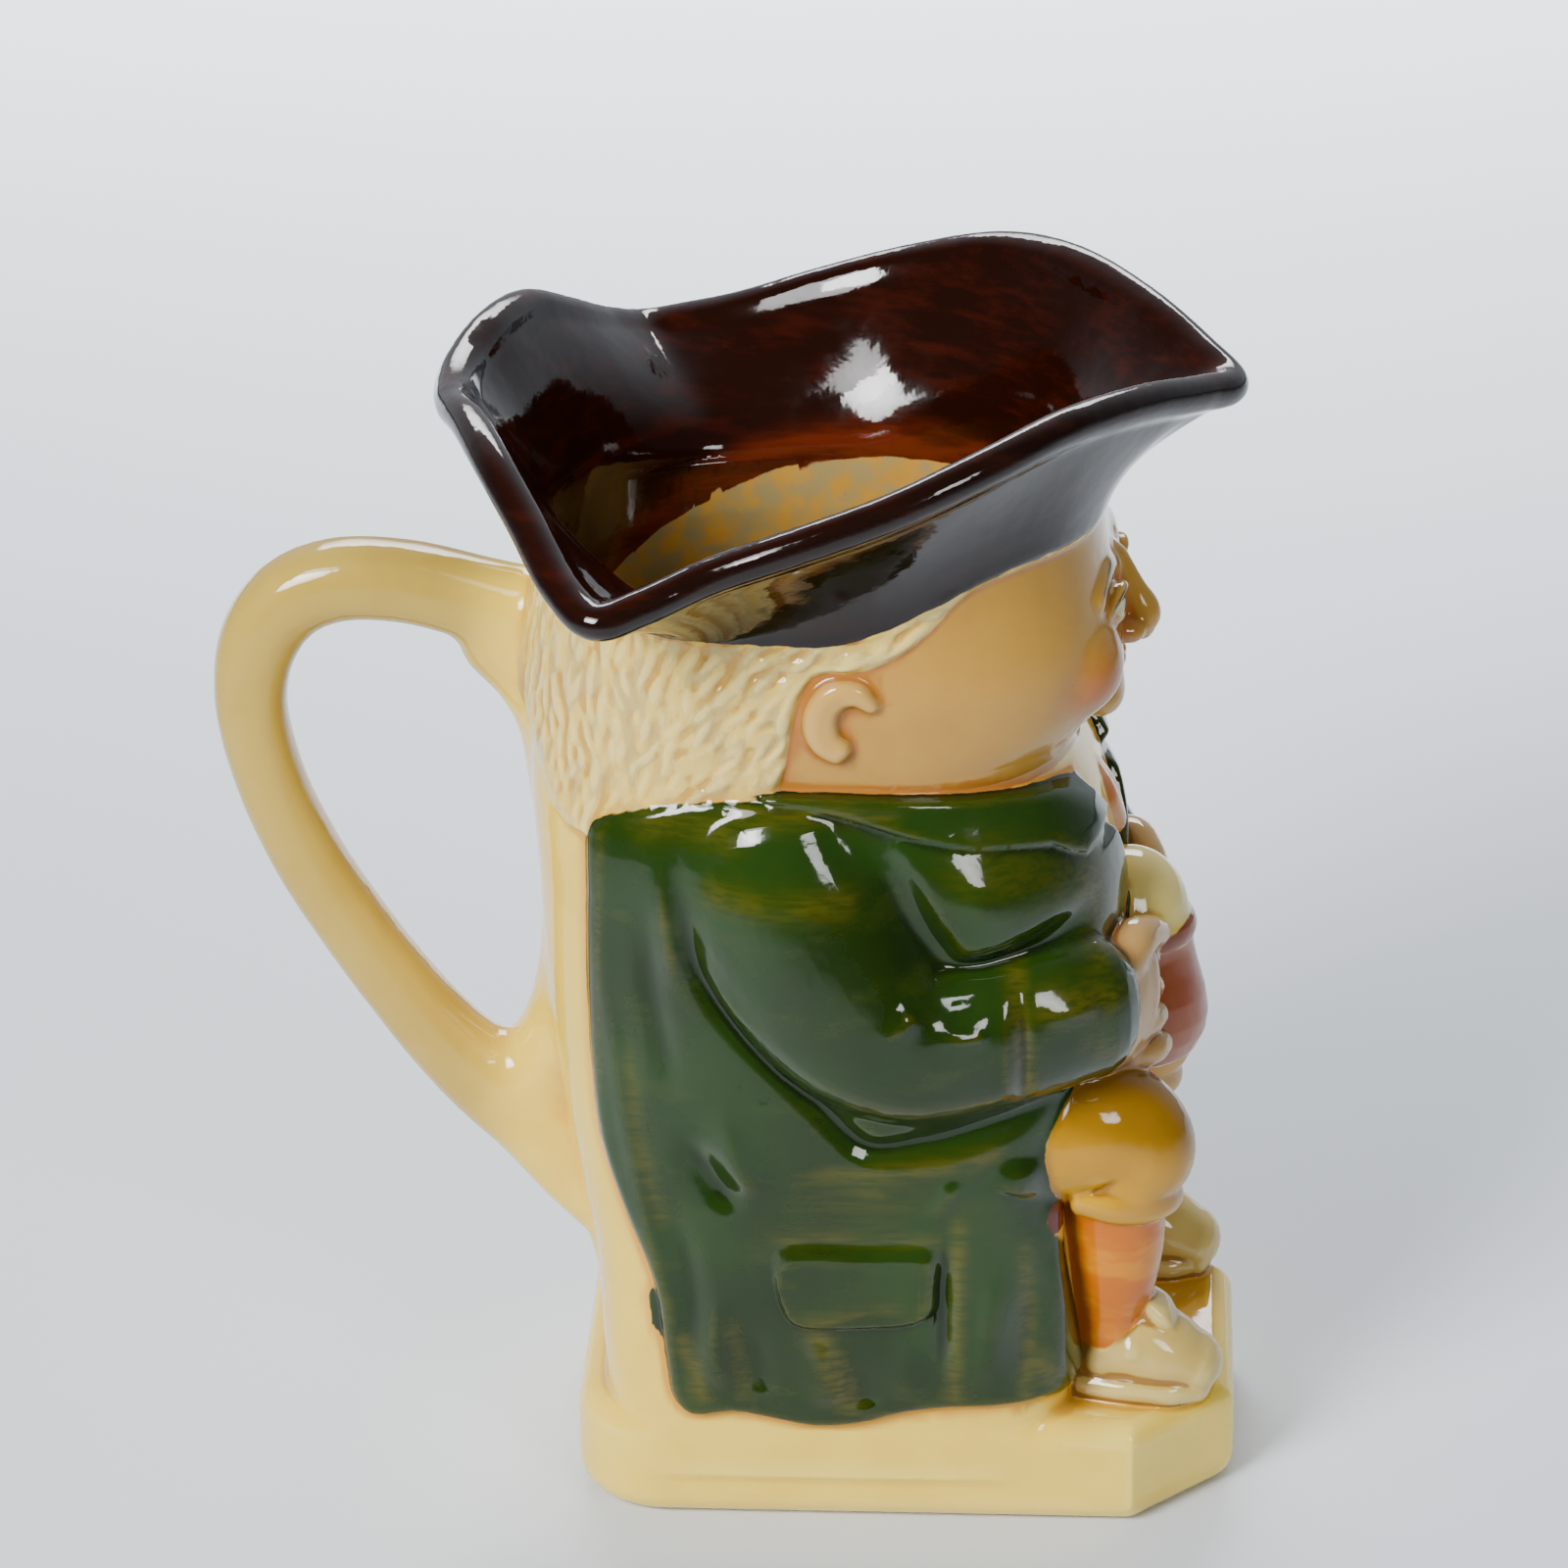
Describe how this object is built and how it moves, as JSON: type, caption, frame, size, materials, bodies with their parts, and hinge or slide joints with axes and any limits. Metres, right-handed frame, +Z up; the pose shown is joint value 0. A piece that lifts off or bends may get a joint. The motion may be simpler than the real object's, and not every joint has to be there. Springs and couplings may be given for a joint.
{
  "type": "toby jug",
  "caption": "Hollow pouring jug shaped as a seated figure in a three-cornered hat holding a tankard, with a loop handle behind and a flat base.",
  "frame": {"origin": "centre of the flat underside of the base", "axes": "+Z up, -Y the way the figure faces and pours, +Y towards the handle, +X the figure's left"},
  "size_m": [0.1386, 0.1798, 0.2124],
  "materials": {
    "glazed_earthenware": "glossy clear glaze over hand-painted colours"
  },
  "bodies": {
    "root": {"toby_jug": "glazed_earthenware"}
  },
  "joints": []
}
